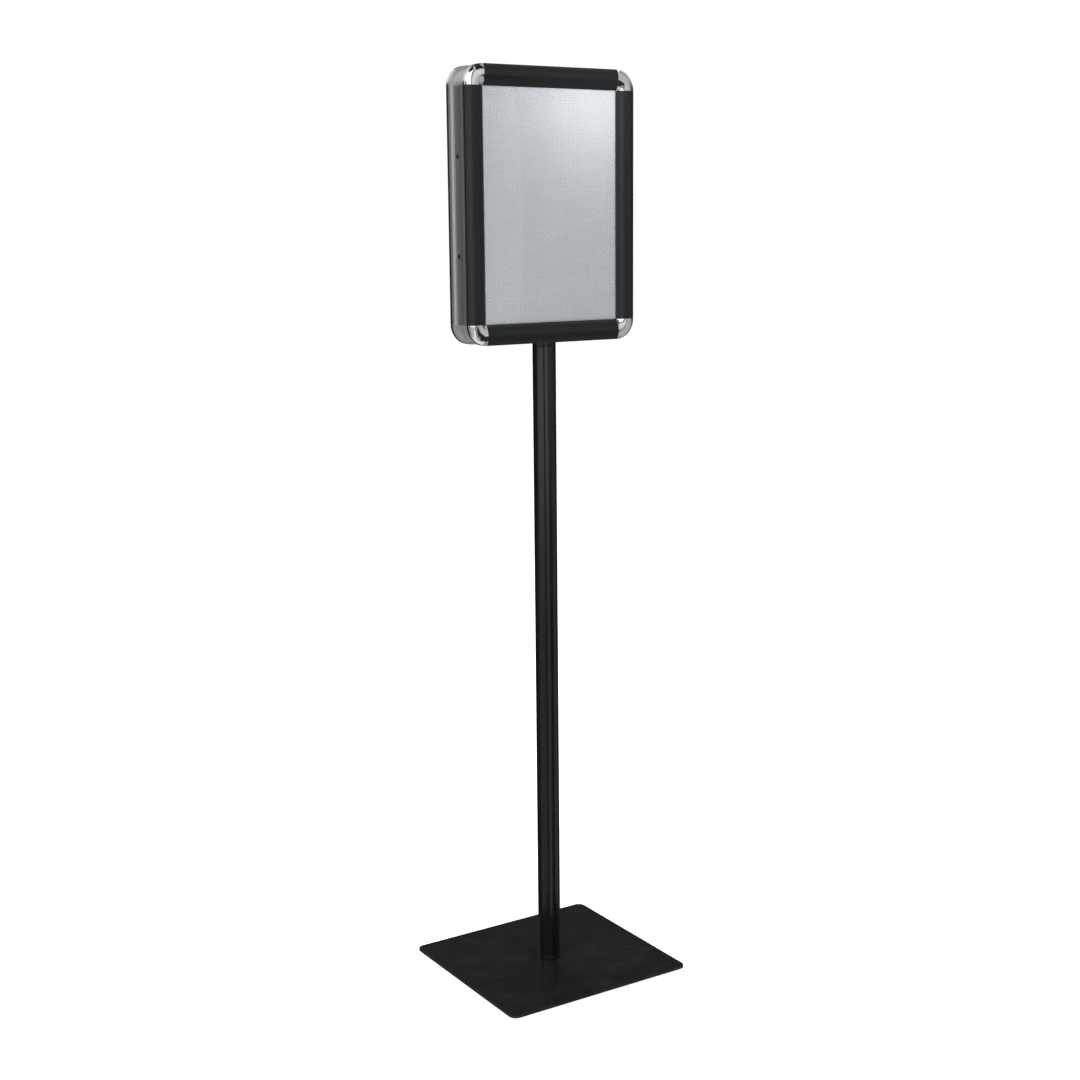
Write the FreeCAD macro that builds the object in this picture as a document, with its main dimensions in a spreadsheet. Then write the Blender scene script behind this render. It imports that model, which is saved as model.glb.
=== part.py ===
import FreeCAD, Part
import math
import os

import Sketcher

# Double-sided snap-frame sign stand for A4 sheets.
# Origin: centre of the base's footprint on the floor. +Z up, front of the sign towards -Y.
#
# The sign's section is described by two distances:
#   inset  how far a point lies inside the sign's outer edge (0 outer edge, 25 window edge)
#   depth  how far it lies in front of the sign's middle plane (the back half is a mirror image)

DIMENSIONS = [
    # sheet and window
    ("sheet_width", 210, "A4 sheet held by each side"),
    ("sheet_height", 297, "A4 sheet held by each side"),
    ("sheet_hidden", 10, "sheet margin under each rail"),
    ("sheet_play", 0.5, "play of panels and covers around their edge"),
    ("board_thickness", 2, "backing panel"),
    ("cover_thickness", 0.6, "clear cover sheet"),
    # snap rails
    ("rail_width", 25, "rail, outer edge to window edge"),
    ("rail_wall", 1.3, "rail face thickness"),
    ("lip_wall", 1.2, "rail outer lip and hook thickness"),
    ("rail_inner_depth", 20, "rail face at the window edge"),
    ("rail_lip_depth", 18.5, "underside of the rail's inner lip"),
    ("crown_radius", 19.65, "convex face of rails and corner caps"),
    ("crown_inset", 11.4, "inset of the crown's centre"),
    ("edge_radius", 1.2, "rounding between crown and side"),
    ("rail_end_gap", 0.25, "gap between a rail and a corner cap"),
    # hinge of a rail: hook on the rail, claw on the frame profile
    ("hinge_inset", 2.6, "hinge axis"),
    ("hinge_depth", 19.6, "hinge axis"),
    ("hook_radius", 2.6, "outside of the rail's hook"),
    ("hook_end_angle", -60, "end of the rail's hook"),
    ("hinge_play", 0.1, "radial play of hook in claw"),
    ("claw_wall", 1.2, "claw thickness"),
    ("claw_tip_angle", 40, "tip of the claw"),
    ("claw_root_angle", -50, "where the claw leaves the face plate"),
    ("claw_root_inset", 6, "foot of the claw on the face plate"),
    # frame profile
    ("face_depth", 15.7, "face plate that carries the panel"),
    ("body_wall", 1.5, "face plate and inner wall"),
    ("side_wall", 1.8, "floor of the side channel"),
    ("channel_recess", 2.5, "depth of the side channel"),
    ("channel_half", 12, "half width of the side channel"),
    ("inner_wall_inset", 20, "inner wall of the profile"),
    ("joint_gap", 0.1, "gap between a profile and a corner joiner"),
    ("side_hole_radius", 3, "accessory holes in the long sides"),
    ("side_hole_half_pitch", 58, "accessory holes, from mid height"),
    ("side_hole_depth", -2, "accessory holes, behind the middle plane"),
    # corner joiner and cap
    ("cap_wall", 1.6, "corner cap thickness"),
    ("cap_lip_depth", 17, "bottom edge of the corner cap"),
    ("peg_radius", 2.5, "peg of the corner cap"),
    ("peg_reach", 18.5, "peg, from the window corner"),
    ("peg_depth", 12, "end of the peg"),
    ("peg_play", 0.05, "radial play of a peg in its hole"),
    ("key_thickness", 4, "arm of the corner joiner"),
    ("key_reach", 25, "how far an arm goes into a profile"),
    ("key_root", 5, "how far an arm starts inside the corner"),
    ("key_play", 0.1, "play of an arm in its profile"),
    # leaf springs
    ("spring_gauge", 0.4, "leaf thickness"),
    ("spring_length", 20, "leaf length along the rail"),
    ("spring_foot_inset", 7, "free end of the leaf's foot"),
    ("spring_bend_inset", 11.5, "start of the leaf's bend"),
    ("spring_bend_radius", 2.9, "outside of the leaf's bend"),
    ("spring_rise", 1.2, "rise of the leaf's upper arm"),
    ("spring_from_end", 45, "leaf centre from the rail's end"),
    # pole and its plugs
    ("tube_length", 800, "pole tube"),
    ("tube_radius", 14.5, "pole tube outside"),
    ("tube_wall", 1.5, "pole tube wall"),
    ("plug_flange", 5, "visible flange of each plug"),
    ("plug_length", 25, "plug inside the tube"),
    ("plug_play", 0.05, "radial play of a plug in the tube"),
    ("plug_thread_depth", 22, "threaded hole inside the plug's body"),
    ("spigot_radius", 11.8, "spigot of the top plug"),
    ("spigot_height", 2.4, "spigot of the top plug"),
    # bolts
    ("bolt_radius", 4, "M8 shank"),
    ("bolt_play", 0.05, "M8 thread play"),
    ("bolt_hole_radius", 4.3, "M8 clearance hole"),
    ("bolt_length", 40, "head bolt under its head"),
    ("bolt_head_radius", 6.5, "socket head"),
    ("bolt_head_height", 8, "socket head"),
    ("socket_radius", 3.46, "6 mm hexagon, over corners"),
    ("socket_depth", 4, "hexagon socket of the head bolt"),
    ("washer_radius", 10, "washer under the head bolt"),
    ("washer_thickness", 1.6, "washer under the head bolt"),
    ("countersink_radius", 8, "countersunk head"),
    ("countersink_land", 0.4, "cylindrical rim of the countersunk head"),
    ("base_bolt_end", 27, "tip of the base bolt above the floor"),
    ("base_socket_depth", 2.4, "hexagon socket of the base bolt"),
    # base
    ("plate_width", 266, "base plate, along the sign's face"),
    ("plate_length", 247, "base plate, front to back"),
    ("plate_thickness", 3, "base plate"),
    ("plate_corner", 10, "base plate corner radius"),
    ("plate_edge", 0.5, "base plate top edge rounding"),
    ("pad_thickness", 2, "pads under the base plate"),
    ("pad_radius", 10, "pads under the base plate"),
    ("pad_inset", 20, "pad centre from the plate's edges"),
]

FORMULAS = [
    ("window_width", "sheet_width - 2 * sheet_hidden"),
    ("window_height", "sheet_height - 2 * sheet_hidden"),
    ("sign_width", "window_width + 2 * rail_width"),
    ("sign_height", "window_height + 2 * rail_width"),
    # the crown passes through the window edge; the edge rounding is tangent to it and to the side
    ("crown_depth", "rail_inner_depth - sqrt(crown_radius ^ 2 - (rail_width - crown_inset) ^ 2)"),
    ("under_radius", "crown_radius - rail_wall"),
    ("edge_depth",
     "crown_depth + sqrt((crown_radius - edge_radius) ^ 2 - (crown_inset - edge_radius) ^ 2)"),
    ("edge_ratio", "crown_radius / (crown_radius - edge_radius)"),
    ("edge_end_inset", "crown_inset + (edge_radius - crown_inset) * edge_ratio"),
    ("edge_end_depth", "crown_depth + (edge_depth - crown_depth) * edge_ratio"),
    ("rail_lip_inset", "rail_width - rail_wall"),
    ("rail_lip_under", "crown_depth + sqrt(under_radius ^ 2 - (rail_lip_inset - crown_inset) ^ 2)"),
    ("lip_under", "crown_depth + sqrt(under_radius ^ 2 - (crown_inset - lip_wall) ^ 2)"),
    ("hook_inside", "hook_radius - lip_wall"),
    ("seat_radius", "hook_radius + hinge_play"),
    ("claw_radius", "seat_radius + claw_wall"),
    ("flange_depth", "hinge_depth - seat_radius"),
    ("chamber_depth", "face_depth - body_wall"),
    ("chamber_outer", "channel_recess + side_wall"),
    ("chamber_inner", "inner_wall_inset - body_wall"),
    ("cap_under_radius", "crown_radius - cap_wall"),
    ("cap_tip_inset",
     "crown_inset + sqrt(cap_under_radius ^ 2 - (rail_lip_depth - crown_depth) ^ 2)"),
    ("cap_side_under", "crown_depth + sqrt(cap_under_radius ^ 2 - (crown_inset - cap_wall) ^ 2)"),
    ("plate_top", "pad_thickness + plate_thickness"),
    ("tube_bottom", "plate_top + plug_flange"),
    ("tube_top", "tube_bottom + tube_length"),
    ("sign_bottom", "tube_top + plug_flange"),
    ("sign_centre", "sign_bottom + sign_height / 2"),
    ("plug_radius", "tube_radius - tube_wall - plug_play"),
    ("thread_radius", "bolt_radius + bolt_play"),
    ("countersink_bottom", "plate_top - countersink_radius + bolt_radius - countersink_land"),
    ("plate_sink_radius", "thread_radius + plate_thickness"),
    ("washer_bottom", "sign_bottom + inner_wall_inset"),
    ("washer_top", "washer_bottom + washer_thickness"),
]

doc = FreeCAD.newDocument("sign_stand")
sheet = doc.addObject("Spreadsheet::Sheet", "Dims")
subparts = []


def fill_sheet():
    for row, (alias, value, note) in enumerate(DIMENSIONS, start=1):
        sheet.set(f"A{row}", note)
        sheet.set(f"B{row}", str(value))
        sheet.setAlias(f"B{row}", alias)
    doc.recompute()
    for row, (alias, formula) in enumerate(FORMULAS, start=len(DIMENSIONS) + 1):
        sheet.set(f"A{row}", "worked out")
        sheet.set(f"B{row}", "=" + formula)
        sheet.setAlias(f"B{row}", alias)
        doc.recompute()


def dim(alias):
    return float(sheet.get(alias))


def cells(formula):
    """A formula in sheet words, as an expression that other objects can use."""
    words = sorted((name for name, *rest in DIMENSIONS + FORMULAS), key=len, reverse=True)
    result = ""
    at = 0
    while at < len(formula):
        word = next((w for w in words if formula.startswith(w, at)), None)
        if word:
            result += "Dims." + word
            at += len(word)
        else:
            result += formula[at]
            at += 1
    return result


def value_of(formula):
    return float(sheet.evalExpression(cells(formula)))


def bind(thing, **sizes):
    for prop, formula in sizes.items():
        thing.setExpression(prop, cells(formula))


def add_part(thing, label):
    thing.Label = label
    subparts.append(thing)
    return thing


# ---------------------------------------------------------------- sketched bodies

def new_body(name):
    return doc.addObject("PartDesign::Body", name)


def new_sketch(body, name, role):
    sketch = body.newObject("Sketcher::SketchObject", name)
    plane = next(f for f in body.Origin.OriginFeatures if f.Role == role)
    sketch.AttachmentSupport = [(plane, "")]
    sketch.MapMode = "FlatFace"
    return sketch


def arc_between(start, end, radius, side):
    """The shorter arc from start to end, with its centre on the left (+1) or right (-1)."""
    chord = end - start
    across = FreeCAD.Vector(-chord.y, chord.x, 0).normalize() * side
    middle = (start + end) / 2
    to_centre = math.sqrt(radius ** 2 - (chord.Length / 2) ** 2)
    crest = middle - across * (radius - to_centre)
    return Part.Arc(start, crest, end)


def draw_outline(sketch, outline):
    """A closed outline. Each entry is (x, y) or (x, y, radius, side): the corner where an edge
    starts and, for an arc, its radius and the side of its centre. All sizes are formulas."""
    corners = [FreeCAD.Vector(value_of(entry[0]), value_of(entry[1]), 0) for entry in outline]
    starts = []
    ends = []
    for number, entry in enumerate(outline):
        start = corners[number]
        end = corners[(number + 1) % len(corners)]
        if len(entry) == 4:
            edge = arc_between(start, end, value_of(entry[2]), entry[3])
        else:
            edge = Part.LineSegment(start, end)
        index = sketch.addGeometry(edge, False)
        first = 1 if (sketch.getPoint(index, 1) - start).Length < 1e-6 else 2
        starts.append((index, first))
        ends.append((index, 3 - first))
        if len(entry) == 4:
            lock = sketch.addConstraint(Sketcher.Constraint("Radius", index, value_of(entry[2])))
            sketch.setExpression(f"Constraints[{lock}]", cells(entry[2]))
    for number, entry in enumerate(outline):
        sketch.addConstraint(Sketcher.Constraint("Coincident", *ends[number - 1], *starts[number]))
        for kind, formula in (("DistanceX", entry[0]), ("DistanceY", entry[1])):
            place = Sketcher.Constraint(kind, *starts[number], value_of(formula))
            lock = sketch.addConstraint(place)
            sketch.setExpression(f"Constraints[{lock}]", cells(formula))


def draw_circle(sketch, x, y, radius):
    centre = FreeCAD.Vector(value_of(x), value_of(y), 0)
    circle = Part.Circle(centre, FreeCAD.Vector(0, 0, 1), value_of(radius))
    index = sketch.addGeometry(circle, False)
    for kind, formula in (("DistanceX", x), ("DistanceY", y)):
        place = Sketcher.Constraint(kind, index, 3, value_of(formula))
        lock = sketch.addConstraint(place)
        sketch.setExpression(f"Constraints[{lock}]", cells(formula))
    lock = sketch.addConstraint(Sketcher.Constraint("Radius", index, value_of(radius)))
    sketch.setExpression(f"Constraints[{lock}]", cells(radius))


def pad_both_ways(body, sketch, name, length):
    pad = body.newObject("PartDesign::Pad", name)
    pad.Profile = sketch
    pad.Midplane = True
    bind(pad, Length=length)
    body.Tip = pad


def solid_volume(body):
    doc.recompute()
    return body.Shape.Volume


# ---------------------------------------------------------------- places around the sign

SIDES = {"top": 0, "left": 270, "bottom": 180, "right": 90}
CORNERS = {"top_right": 0, "top_left": 270, "bottom_left": 180, "bottom_right": 90}
FACES = {"front": 0, "rear": 180}


def turned_place(about_y, offset, about_z=0):
    """Offset from the sign's centre, turned about the sign's face axis, then front to back."""
    centre = FreeCAD.Placement(FreeCAD.Vector(0, 0, dim("sign_centre")), FreeCAD.Rotation())
    back = FreeCAD.Placement(FreeCAD.Vector(), FreeCAD.Rotation(FreeCAD.Vector(0, 0, 1), about_z))
    turn = FreeCAD.Placement(FreeCAD.Vector(), FreeCAD.Rotation(FreeCAD.Vector(0, 1, 0), about_y))
    return centre * back * turn * FreeCAD.Placement(offset, FreeCAD.Rotation())


def is_long(side):
    return side in ("left", "right")


def side_place(side, face="front"):
    """A section's place: drawn for the top side, its outer edge at the local origin."""
    half = dim("sign_width") / 2 if is_long(side) else dim("sign_height") / 2
    return turned_place(SIDES[side], FreeCAD.Vector(0, 0, half), FACES[face])


def corner_place(corner, face="front"):
    """A corner's place: drawn for the top right, with the window's corner at the local origin."""
    across = dim("window_width") / 2
    up = dim("window_height") / 2
    if CORNERS[corner] in (90, 270):
        across, up = up, across
    return turned_place(CORNERS[corner], FreeCAD.Vector(across, 0, up), FACES[face])


def run_length(side):
    return "window_height" if is_long(side) else "window_width"


def from_edge(outline):
    """A section outline in a side's local Y, Z."""
    return [(f"-({depth})", f"-({inset})", *flipped(arc)) for inset, depth, *arc in outline]


def from_corner(outline):
    """A section outline in a corner's local Y, Z."""
    return [(f"-({depth})", f"rail_width - ({inset})", *flipped(arc))
            for inset, depth, *arc in outline]


def flipped(arc):
    """An arc's radius and side, seen from the sketch's side of the section."""
    return [arc[0], -arc[1]] if arc else []


def around_hinge(radius, angle):
    """Inset and depth of a point at an angle about the hinge axis, 0 pointing inwards."""
    return (f"hinge_inset + {radius} * cos({angle} * 1 deg)",
            f"hinge_depth + {radius} * sin({angle} * 1 deg)")


# ---------------------------------------------------------------- base and pole

def make_base_plate():
    body = new_body("PlateBody")
    sketch = new_sketch(body, "PlateOutline", "XY_Plane")
    half_x, half_y, corner = "plate_width / 2", "plate_length / 2", "plate_corner"
    draw_outline(sketch, [
        (f"{half_x} - {corner}", f"-{half_y}", corner, 1),
        (half_x, f"{corner} - {half_y}"),
        (half_x, f"{half_y} - {corner}", corner, 1),
        (f"{half_x} - {corner}", half_y),
        (f"{corner} - {half_x}", half_y, corner, 1),
        (f"-{half_x}", f"{half_y} - {corner}"),
        (f"-{half_x}", f"{corner} - {half_y}", corner, 1),
        (f"{corner} - {half_x}", f"-{half_y}"),
    ])
    pad = body.newObject("PartDesign::Pad", "PlatePad")
    pad.Profile = sketch
    bind(pad, Length="plate_thickness")
    body.Tip = pad
    doc.recompute()
    top = pad.Shape.BoundBox.ZMax
    rim = [f"Edge{number}" for number, edge in enumerate(pad.Shape.Edges, start=1)
           if edge.BoundBox.ZMin > top - 1e-6]
    rounding = body.newObject("PartDesign::Fillet", "PlateEdge")
    rounding.Base = (pad, rim)
    bind(rounding, Radius="plate_edge")
    body.Tip = rounding
    body.Placement.Base = FreeCAD.Vector(0, 0, dim("pad_thickness"))
    sink = doc.addObject("Part::Cone", "PlateSink")
    bind(sink, Radius1="plate_sink_radius", Radius2="thread_radius", Height="plate_thickness")
    sink.Placement.Base = FreeCAD.Vector(0, 0, dim("pad_thickness"))
    plate = doc.addObject("Part::Cut", "BasePlate")
    plate.Base = body
    plate.Tool = sink
    add_part(plate, "base_plate")


def make_base_pads():
    pads = []
    across = dim("plate_width") / 2 - dim("pad_inset")
    along = dim("plate_length") / 2 - dim("pad_inset")
    for x in (-across, across):
        for y in (-along, along):
            pad = cylinder(f"Pad{len(pads) + 1}", "pad_radius", "pad_thickness", 0)
            pad.Placement.Base = FreeCAD.Vector(x, y, 0)
            pads.append(pad)
    group = doc.addObject("Part::Compound", "BasePads")
    group.Links = pads
    add_part(group, "base_pads")


def cylinder(name, radius, height, bottom):
    piece = doc.addObject("Part::Cylinder", name)
    bind(piece, Radius=radius, Height=height)
    piece.Placement.Base = FreeCAD.Vector(0, 0, bottom)
    return piece


def joined(name, *pieces):
    fuse = doc.addObject("Part::MultiFuse", name)
    fuse.Shapes = list(pieces)
    return fuse


def cut(name, base, tool):
    result = doc.addObject("Part::Cut", name)
    result.Base = base
    result.Tool = tool
    return result


def hexagon(name, depth, bottom):
    prism = doc.addObject("Part::Prism", name)
    prism.Polygon = 6
    bind(prism, Circumradius="socket_radius", Height=depth)
    prism.Placement.Base = FreeCAD.Vector(0, 0, bottom)
    return prism


def make_base_bolt():
    bottom = dim("countersink_bottom")
    land_top = bottom + dim("countersink_land")
    land = cylinder("SinkLand", "countersink_radius", "countersink_land", bottom)
    head = doc.addObject("Part::Cone", "SinkHead")
    bind(head, Radius1="countersink_radius", Radius2="bolt_radius",
         Height="countersink_radius - bolt_radius")
    head.Placement.Base = FreeCAD.Vector(0, 0, land_top)
    shank = cylinder("SinkShank", "bolt_radius", "base_bolt_end - plate_top", dim("plate_top"))
    socket = hexagon("SinkSocket", "base_socket_depth", bottom)
    blank = joined("SinkBlank", land, head, shank)
    add_part(cut("BaseBolt", blank, socket), "base_bolt")


def make_base_plug():
    bottom = dim("plate_top")
    flange = cylinder("BaseFlange", "tube_radius", "plug_flange", bottom)
    stem = cylinder("BaseStem", "plug_radius", "plug_length", dim("tube_bottom"))
    hole = cylinder("BaseThread", "thread_radius", "plug_flange + plug_thread_depth", bottom)
    add_part(cut("BasePlug", joined("BasePlugBlank", flange, stem), hole), "pole_base_plug")


def make_tube():
    outside = cylinder("TubeOutside", "tube_radius", "tube_length", dim("tube_bottom"))
    bore = cylinder("TubeBore", "tube_radius - tube_wall", "tube_length", dim("tube_bottom"))
    add_part(cut("PoleTube", outside, bore), "pole_tube")


def make_top_plug():
    stem_bottom = dim("tube_top") - dim("plug_length")
    stem = cylinder("TopStem", "plug_radius", "plug_length", stem_bottom)
    flange = cylinder("TopFlange", "tube_radius", "plug_flange", dim("tube_top"))
    spigot = cylinder("TopSpigot", "spigot_radius", "spigot_height", dim("sign_bottom"))
    thread_bottom = dim("tube_top") - dim("plug_thread_depth")
    depth = "plug_thread_depth + plug_flange + spigot_height"
    hole = cylinder("TopThread", "thread_radius", depth, thread_bottom)
    add_part(cut("TopPlug", joined("TopPlugBlank", stem, flange, spigot), hole), "pole_top_plug")


def make_head_bolt():
    seat = dim("washer_top")
    shank = cylinder("BoltShank", "bolt_radius", "bolt_length", seat - dim("bolt_length"))
    head = cylinder("BoltHead", "bolt_head_radius", "bolt_head_height", seat)
    socket_bottom = seat + dim("bolt_head_height") - dim("socket_depth")
    socket = hexagon("BoltSocket", "socket_depth", socket_bottom)
    add_part(cut("HeadBolt", joined("BoltBlank", shank, head), socket), "head_bolt")
    disc = cylinder("WasherDisc", "washer_radius", "washer_thickness", dim("washer_bottom"))
    hole = cylinder("WasherHole", "bolt_hole_radius", "washer_thickness", dim("washer_bottom"))
    add_part(cut("Washer", disc, hole), "head_bolt_washer")


# ---------------------------------------------------------------- frame profiles

def mirrored(points):
    """A half outline followed by its mirror image behind the middle plane. An entry's arc belongs
    to the edge after it, which in the mirror image is the edge before it."""
    back = []
    for number in range(len(points) - 1, -1, -1):
        inset, depth = points[number][:2]
        arc = points[number - 1][2:] if number else ()
        back.append((inset, f"-({depth})", *arc))
    return points + back


def drill_profile(body, side, holes, length):
    """Round holes through the side channel, centred on the outer edge and length deep in all."""
    sketch = new_sketch(body, f"ProfileHoles{side.title()}", "XY_Plane")
    for hole in holes:
        draw_circle(sketch, *hole)
    before = solid_volume(body)
    pocket = body.newObject("PartDesign::Pocket", f"ProfilePocket{side.title()}")
    pocket.Profile = sketch
    pocket.Midplane = True
    bind(pocket, Length=length)
    body.Tip = pocket
    if solid_volume(body) >= before:
        raise RuntimeError(f"the holes of the {side} profile cut nothing")


def make_profile(side):
    body = new_body(f"Profile{side.title()}")
    section = new_sketch(body, f"ProfileSection{side.title()}", "YZ_Plane")
    outline = mirrored([
        ("channel_recess", "channel_half"),
        ("0", "channel_half"),
        ("0", "flange_depth"),
        ("hinge_inset", "flange_depth", "seat_radius", 1),
        around_hinge("seat_radius", "claw_tip_angle"),
        (*around_hinge("claw_radius", "claw_tip_angle"), "claw_radius", -1),
        around_hinge("claw_radius", "claw_root_angle"),
        ("claw_root_inset", "face_depth"),
        ("rail_width", "face_depth"),
        ("rail_width", "chamber_depth"),
        ("inner_wall_inset", "chamber_depth"),
    ])
    draw_outline(section, from_edge(outline))
    chamber = [("chamber_outer", "chamber_depth"), ("chamber_inner", "chamber_depth"),
               ("chamber_inner", "-chamber_depth"), ("chamber_outer", "-chamber_depth")]
    draw_outline(section, from_edge(chamber))
    pad_both_ways(body, section, f"ProfilePad{side.title()}", f"{run_length(side)} - 2 * joint_gap")
    if side == "bottom":
        drill_profile(body, side, [("0", "0", "bolt_hole_radius")], "4 * rail_width")
    elif is_long(side):
        # both long profiles are one part, turned end for end: the holes lie behind the middle
        # plane on the left and in front of it on the right
        behind = "-side_hole_depth" if side == "left" else "side_hole_depth"
        holes = [(along, behind, "side_hole_radius")
                 for along in ("side_hole_half_pitch", "-side_hole_half_pitch")]
        drill_profile(body, side, holes, "rail_width")
    body.Placement = side_place(side)
    add_part(body, f"frame_profile_{side}")


# ---------------------------------------------------------------- snap rails

def make_rail(side, face):
    name = f"{face.title()}{side.title()}"
    body = new_body(f"Rail{name}")
    section = new_sketch(body, f"RailSection{name}", "YZ_Plane")
    outline = [
        ("0", "hinge_depth"),
        ("0", "edge_depth", "edge_radius", -1),
        ("edge_end_inset", "edge_end_depth", "crown_radius", -1),
        ("rail_width", "rail_inner_depth"),
        ("rail_width", "rail_lip_depth"),
        ("rail_lip_inset", "rail_lip_depth"),
        ("rail_lip_inset", "rail_lip_under", "under_radius", 1),
        ("lip_wall", "lip_under"),
        ("lip_wall", "hinge_depth", "hook_inside", 1),
        around_hinge("hook_inside", "hook_end_angle"),
        (*around_hinge("hook_radius", "hook_end_angle"), "hook_radius", -1),
    ]
    draw_outline(section, from_edge(outline))
    pad_both_ways(body, section, f"RailPad{name}", f"{run_length(side)} - 2 * rail_end_gap")
    body.Placement = side_place(side, face)
    add_part(body, f"{face}_rail_{side}")


# ---------------------------------------------------------------- corners

def quarter_turn(body, sketch, name):
    turn = body.newObject("PartDesign::Revolution", name)
    turn.Profile = sketch
    turn.ReferenceAxis = (sketch, ["H_Axis"])
    turn.Angle = 90
    body.Tip = turn
    doc.recompute()
    if turn.Shape.BoundBox.XMax < dim("rail_width") / 2:
        turn.Reversed = True
        doc.recompute()


def peg_tool(name, radius, near, far):
    """A round bar along the sign's face axis on the corner's bisector, from near to far depth."""
    bar = doc.addObject("Part::Cylinder", name)
    bind(bar, Radius=radius, Height=f"{near} - ({far})")
    reach = dim("peg_reach") / math.sqrt(2)
    facing = FreeCAD.Rotation(FreeCAD.Vector(1, 0, 0), -90)
    bar.Placement = FreeCAD.Placement(FreeCAD.Vector(reach, -value_of(near), reach), facing)
    return bar


def make_cap(corner, face):
    name = "".join(word.title() for word in (face + "_" + corner).split("_"))
    body = new_body(f"Cap{name}")
    section = new_sketch(body, f"CapSection{name}", "YZ_Plane")
    outline = [
        ("0", "cap_lip_depth"),
        ("0", "edge_depth", "edge_radius", -1),
        ("edge_end_inset", "edge_end_depth", "crown_radius", -1),
        ("rail_width", "rail_inner_depth"),
        ("rail_width", "rail_lip_depth"),
        ("cap_tip_inset", "rail_lip_depth", "cap_under_radius", 1),
        ("cap_wall", "cap_side_under"),
        ("cap_wall", "cap_lip_depth"),
    ]
    draw_outline(section, from_corner(outline))
    quarter_turn(body, section, f"CapTurn{name}")
    peg = peg_tool(f"CapPeg{name}", "peg_radius", "crown_depth + cap_under_radius", "peg_depth")
    cap = joined(f"CapJoined{name}", body, peg)
    cap.Placement = corner_place(corner, face)
    add_part(cap, f"{face}_corner_cap_{corner}")


def key_arm(name, along_x):
    """An arm of a corner joiner: it starts inside the corner and ends inside a profile."""
    arm = doc.addObject("Part::Box", name)
    thick, wide = "key_thickness", "2 * (chamber_depth - key_play)"
    reach = "key_reach + key_root"
    if along_x:
        bind(arm, Length=reach, Width=wide, Height=thick)
    else:
        bind(arm, Length=thick, Width=wide, Height=reach)
    high = dim("rail_width") - dim("chamber_outer") - dim("key_play")
    low = high - dim("key_thickness")
    corner = FreeCAD.Vector(-dim("key_reach"), value_of(f"-{wide} / 2"), low)
    if not along_x:
        corner = FreeCAD.Vector(low, corner.y, -dim("key_reach"))
    arm.Placement.Base = corner
    return arm


def make_joiner(corner):
    name = "".join(word.title() for word in corner.split("_"))
    body = new_body(f"Joiner{name}")
    section = new_sketch(body, f"JoinerSection{name}", "YZ_Plane")
    outline = mirrored([
        ("channel_recess", "channel_half"),
        ("0", "channel_half"),
        ("0", "flange_depth"),
        ("chamber_outer", "flange_depth"),
        ("chamber_outer", "face_depth"),
        ("rail_width", "face_depth"),
    ])
    draw_outline(section, from_corner(outline))
    quarter_turn(body, section, f"JoinerTurn{name}")
    arms = [key_arm(f"JoinerArmX{name}", True), key_arm(f"JoinerArmZ{name}", False)]
    blank = joined(f"JoinerBlank{name}", body, *arms)
    hole = peg_tool(f"JoinerHole{name}", "peg_radius + peg_play", "cap_lip_depth", "-cap_lip_depth")
    joiner = cut(f"Joiner{name}Drilled", blank, hole)
    joiner.Placement = corner_place(corner)
    add_part(joiner, f"corner_joiner_{corner}")


# ---------------------------------------------------------------- panels, covers and springs

def make_sheet(label, thickness, near_depth, face):
    """A flat sheet behind a window; its outer face lies at near_depth."""
    panel = doc.addObject("Part::Box", label.title().replace("_", ""))
    bind(panel, Length="sheet_width - 2 * sheet_play", Height="sheet_height - 2 * sheet_play",
         Width=thickness)
    half_width = value_of("sheet_width / 2 - sheet_play")
    half_height = value_of("sheet_height / 2 - sheet_play")
    corner = FreeCAD.Vector(-half_width, -value_of(near_depth), -half_height)
    panel.Placement = turned_place(0, corner, FACES[face])
    add_part(panel, label)


def make_spring_pattern():
    body = new_body("LeafSpring")
    section = new_sketch(body, "LeafSection", "YZ_Plane")
    foot = "face_depth"
    bend = "spring_bend_radius"
    inside = "(spring_bend_radius - spring_gauge)"
    crest = f"{foot} + 2 * {bend}"
    outline = [
        ("spring_foot_inset", foot),
        ("spring_bend_inset", foot, bend, 1),
        (f"spring_bend_inset + {bend}", f"{foot} + {bend}", bend, 1),
        ("spring_bend_inset", crest),
        ("spring_foot_inset", f"{crest} + spring_rise"),
        ("spring_foot_inset", f"{crest} + spring_rise - spring_gauge"),
        ("spring_bend_inset", f"{crest} - spring_gauge", inside, -1),
        (f"spring_bend_inset + {inside}", f"{foot} + {bend}", inside, -1),
        ("spring_bend_inset", f"{foot} + spring_gauge"),
        ("spring_foot_inset", f"{foot} + spring_gauge"),
    ]
    draw_outline(section, from_edge(outline))
    pad_both_ways(body, section, "LeafPad", "spring_length")
    doc.recompute()
    return body.Shape.copy()


def make_springs(face, pattern):
    leaves = []
    for side in SIDES:
        from_middle = dim(run_length(side)) / 2 - dim("spring_from_end")
        for shift in (-from_middle, from_middle):
            leaf = doc.addObject("Part::Feature", f"Leaf{face.title()}{len(leaves) + 1}")
            leaf.Shape = pattern
            along = FreeCAD.Placement(FreeCAD.Vector(shift, 0, 0), FreeCAD.Rotation())
            leaf.Placement = side_place(side, face) * along
            leaves.append(leaf)
    group = doc.addObject("Part::Compound", f"Springs{face.title()}")
    group.Links = leaves
    add_part(group, f"{face}_leaf_springs")


def make_sign():
    for side in SIDES:
        make_profile(side)
    for corner in CORNERS:
        make_joiner(corner)
    pattern = make_spring_pattern()
    board_face = "face_depth + board_thickness"
    for face in FACES:
        make_sheet(f"{face}_backing_panel", "board_thickness", board_face, face)
        make_sheet(f"{face}_cover_sheet", "cover_thickness", board_face + " + cover_thickness", face)
        make_springs(face, pattern)
        for side in SIDES:
            make_rail(side, face)
        for corner in CORNERS:
            make_cap(corner, face)


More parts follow.
